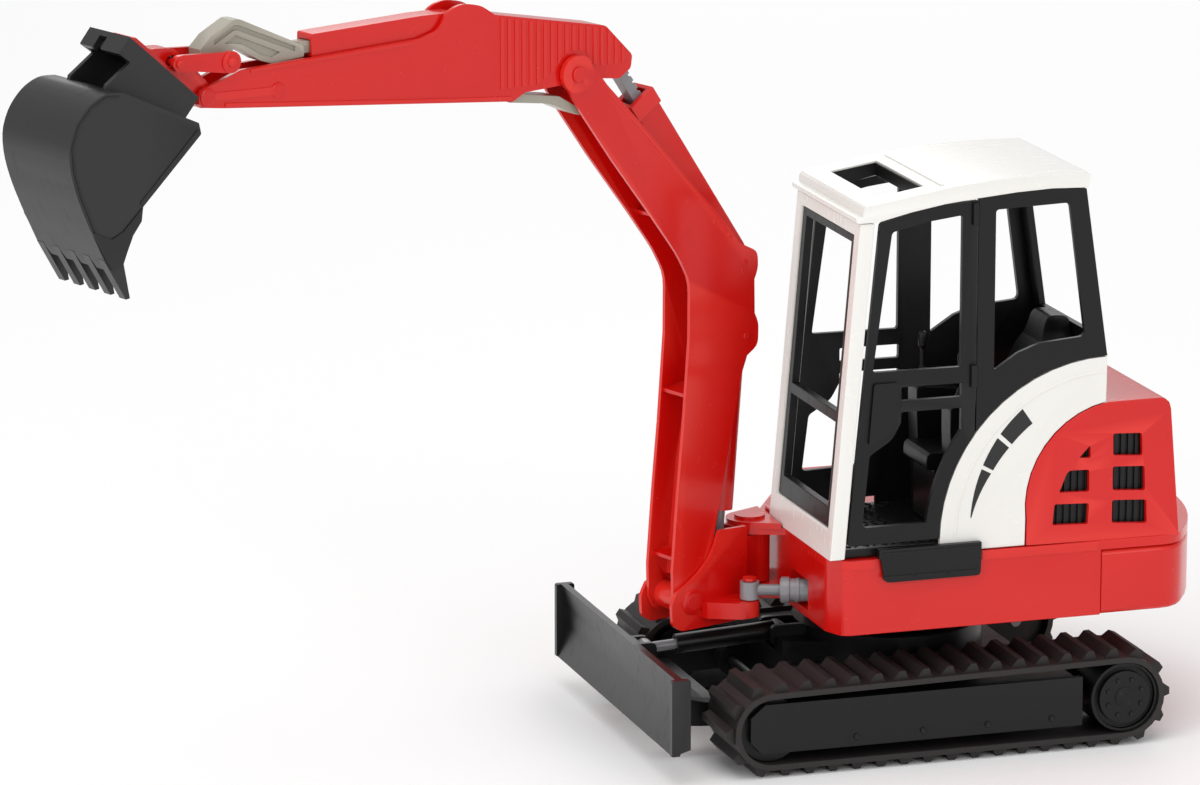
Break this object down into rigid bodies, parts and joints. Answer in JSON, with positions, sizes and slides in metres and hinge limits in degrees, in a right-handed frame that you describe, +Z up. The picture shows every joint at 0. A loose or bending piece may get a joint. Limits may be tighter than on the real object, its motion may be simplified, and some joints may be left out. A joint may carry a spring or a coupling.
{
  "type": "toy mini excavator",
  "caption": "Plastic toy mini excavator: rubber tracks, slewing body with open cab and hinged door, swinging jointed digging arm with bucket, and dozer blade.",
  "frame": {"origin": "on the ground, below the middle of the whole object as posed", "axes": "+X to the machine's front, +Y to its left (the door side), +Z up"},
  "size_m": [0.4026, 0.1706, 0.2536],
  "materials": {
    "red_body": "glossy moulded red",
    "white_cab": "glossy moulded off-white",
    "black_frame": "satin moulded black",
    "charcoal_tool": "satin charcoal",
    "track_rubber": "dull brown-black",
    "grey_rod": "silver-grey moulded",
    "warm_grey_rod": "warm grey moulded"
  },
  "bodies": {
    "undercarriage": {"chassis": "black_frame", "turntable": "black_frame", "track_frame_left": "black_frame", "track_frame_right": "black_frame", "rubber_track_left": "track_rubber", "rubber_track_right": "track_rubber", "drive_axle_left": "grey_rod", "drive_axle_right": "grey_rod", "idler_axle_left": "grey_rod", "idler_axle_right": "grey_rod", "blade_hinge_pin": "black_frame"},
    "drive_left": {"drive_wheel_left": "black_frame"},
    "drive_right": {"drive_wheel_right": "black_frame"},
    "idler_left": {"idler_wheel_left": "black_frame"},
    "idler_right": {"idler_wheel_right": "black_frame"},
    "blade": {"blade": "charcoal_tool", "blade_frame": "black_frame"},
    "blade_barrel": {"blade_cylinder_barrel": "black_frame"},
    "blade_rod": {"blade_cylinder_rod": "grey_rod"},
    "house": {"deck": "red_body", "counterweight": "red_body", "engine_hood": "red_body", "hood_grille_left": "black_frame", "hood_grille_right": "black_frame", "right_cover": "red_body", "side_step": "black_frame", "cab_floor": "black_frame", "front_corner_frame": "white_cab", "front_window_frame": "black_frame", "cab_roof": "white_cab", "side_panel_left": "white_cab", "side_panel_right": "white_cab", "window_frame_left": "black_frame", "window_frame_right": "black_frame", "rear_window_frame": "black_frame", "seat": "black_frame", "seat_box": "black_frame", "console_left": "black_frame", "console_right": "black_frame", "control_lever_left": "black_frame", "control_lever_right": "black_frame", "swing_pin": "red_body"},
    "door": {"door": "black_frame"},
    "swing_barrel": {"swing_cylinder_barrel": "grey_rod"},
    "swing_rod": {"swing_cylinder_rod": "grey_rod"},
    "swing_bracket": {"swing_bracket": "red_body", "boom_foot_pin": "red_body"},
    "boom": {"boom": "red_body", "stick_pivot_pin": "red_body"},
    "boom_barrel": {"boom_cylinder_barrel": "red_body"},
    "boom_rod": {"boom_cylinder_rod": "grey_rod"},
    "stick_barrel": {"stick_cylinder_barrel": "red_body"},
    "stick_rod": {"stick_cylinder_rod": "grey_rod"},
    "stick": {"stick": "red_body", "stick_shoe": "warm_grey_rod", "bucket_cylinder_sleeve": "red_body"},
    "bucket_rod": {"bucket_rod": "warm_grey_rod"},
    "bucket_link": {"bucket_link": "red_body"},
    "bucket": {"bucket": "charcoal_tool", "bucket_carrier": "red_body"}
  },
  "joints": [
    {"name": "drive_left_spin", "type": "hinge", "parent": "undercarriage", "child": "drive_left", "pos_m": [-0.16308, 0.02668, 0.016], "axis": [0, 1, 0], "continuous": true},
    {"name": "idler_left_spin", "type": "hinge", "parent": "undercarriage", "child": "idler_left", "pos_m": [-0.04388, 0.02668, 0.0151], "axis": [0, 1, 0], "continuous": true},
    {"name": "drive_right_spin", "type": "hinge", "parent": "undercarriage", "child": "drive_right", "pos_m": [-0.16308, -0.07332, 0.016], "axis": [0, 1, 0], "continuous": true},
    {"name": "idler_right_spin", "type": "hinge", "parent": "undercarriage", "child": "idler_right", "pos_m": [-0.04388, -0.07332, 0.0151], "axis": [0, 1, 0], "continuous": true},
    {"name": "blade_lift", "type": "hinge", "parent": "undercarriage", "child": "blade", "pos_m": [-0.05828, -0.02332, 0.015], "axis": [0, 1, 0], "range_deg": [-3, 11]},
    {"name": "blade_barrel_swivel", "type": "hinge", "parent": "undercarriage", "child": "blade_barrel", "pos_m": [-0.06678, -0.02332, 0.0305], "axis": [0, 1, 0], "range_deg": [-2.84, 9.07]},
    {"name": "blade_rod_swivel", "type": "hinge", "parent": "blade", "child": "blade_rod", "pos_m": [-0.02188, -0.02332, 0.028], "axis": [0, 1, 0], "range_deg": [-2.93, 1.16]},
    {"name": "house_slew", "type": "hinge", "parent": "undercarriage", "child": "house", "pos_m": [-0.10428, -0.02332, 0.043], "axis": [0, 0, 1], "continuous": true},
    {"name": "door_swing", "type": "hinge", "parent": "house", "child": "door", "pos_m": [-0.11128, 0.03418, 0.15], "axis": [0, 0, 1], "range_deg": [0, 95]},
    {"name": "boom_swing", "type": "hinge", "parent": "house", "child": "swing_bracket", "pos_m": [-0.05688, -0.02332, 0.0566], "axis": [0, 0, 1], "range_deg": [-45, 10]},
    {"name": "swing_barrel_swivel", "type": "hinge", "parent": "house", "child": "swing_barrel", "pos_m": [-0.08928, 0.01068, 0.0503], "axis": [0, 0, 1], "range_deg": [-5.41, 1.59]},
    {"name": "swing_rod_swivel", "type": "hinge", "parent": "swing_bracket", "child": "swing_rod", "pos_m": [-0.05012, -0.0033, 0.0503], "axis": [0, 0, 1], "range_deg": [-9.41, 40.59]},
    {"name": "boom_lift", "type": "hinge", "parent": "swing_bracket", "child": "boom", "pos_m": [-0.0286, -0.01303, 0.0472], "axis": [-0.342, 0.9397, 0], "range_deg": [-6, 30]},
    {"name": "boom_rod_swivel", "type": "hinge", "parent": "swing_bracket", "child": "boom_rod", "pos_m": [-0.04373, -0.01853, 0.056], "axis": [-0.342, 0.9397, 0], "range_deg": [-6.98, 32.9]},
    {"name": "boom_barrel_swivel", "type": "hinge", "parent": "boom", "child": "boom_barrel", "pos_m": [-0.04984, -0.02075, 0.131], "axis": [-0.342, 0.9397, 0], "range_deg": [-0.98, 2.9]},
    {"name": "stick_lift", "type": "hinge", "parent": "boom", "child": "stick", "pos_m": [0.01341, 0.00226, 0.2231], "axis": [-0.342, 0.9397, 0], "range_deg": [-10, 40]},
    {"name": "stick_barrel_swivel", "type": "hinge", "parent": "boom", "child": "stick_barrel", "pos_m": [-0.04937, -0.02058, 0.155], "axis": [-0.342, 0.9397, 0], "range_deg": [-2.78, 1.07]},
    {"name": "stick_rod_swivel", "type": "hinge", "parent": "stick", "child": "stick_rod", "pos_m": [-0.00426, -0.00417, 0.224], "axis": [-0.342, 0.9397, 0], "range_deg": [-42.78, 11.07]},
    {"name": "bucket_curl", "type": "hinge", "parent": "stick", "child": "bucket", "pos_m": [0.14158, 0.04892, 0.2313], "axis": [-0.342, 0.9397, 0], "range_deg": [-10, 50]},
    {"name": "bucket_rod_slide", "type": "slide", "parent": "stick", "child": "bucket_rod", "axis": [0.9397, 0.342, 0], "range_m": [-0.00199, 0.00876]},
    {"name": "bucket_link_swivel", "type": "hinge", "parent": "bucket_rod", "child": "bucket_link", "pos_m": [0.135, 0.04652, 0.2415], "axis": [-0.342, 0.9397, 0], "range_deg": [-8.5, 40.5]}
  ],
  "couplings": [
    {"joint": "idler_left_spin", "follows": "drive_left_spin", "ratio": 1.0841},
    {"joint": "idler_right_spin", "follows": "drive_right_spin", "ratio": 1.0841},
    {"joint": "blade_barrel_swivel", "follows": "blade_lift", "ratio": 0.779},
    {"joint": "blade_rod_swivel", "follows": "blade_lift", "ratio": -0.221},
    {"joint": "swing_barrel_swivel", "follows": "boom_swing", "ratio": 0.109},
    {"joint": "swing_rod_swivel", "follows": "boom_swing", "ratio": -0.891},
    {"joint": "boom_rod_swivel", "follows": "boom_lift", "ratio": 1.08},
    {"joint": "boom_barrel_swivel", "follows": "boom_lift", "ratio": 0.08},
    {"joint": "stick_barrel_swivel", "follows": "stick_lift", "ratio": -0.057},
    {"joint": "stick_rod_swivel", "follows": "stick_lift", "ratio": -1.057},
    {"joint": "bucket_rod_slide", "follows": "bucket_curl", "m_per_rad": 0.0097},
    {"joint": "bucket_link_swivel", "follows": "bucket_curl", "ratio": 0.8}
  ]
}
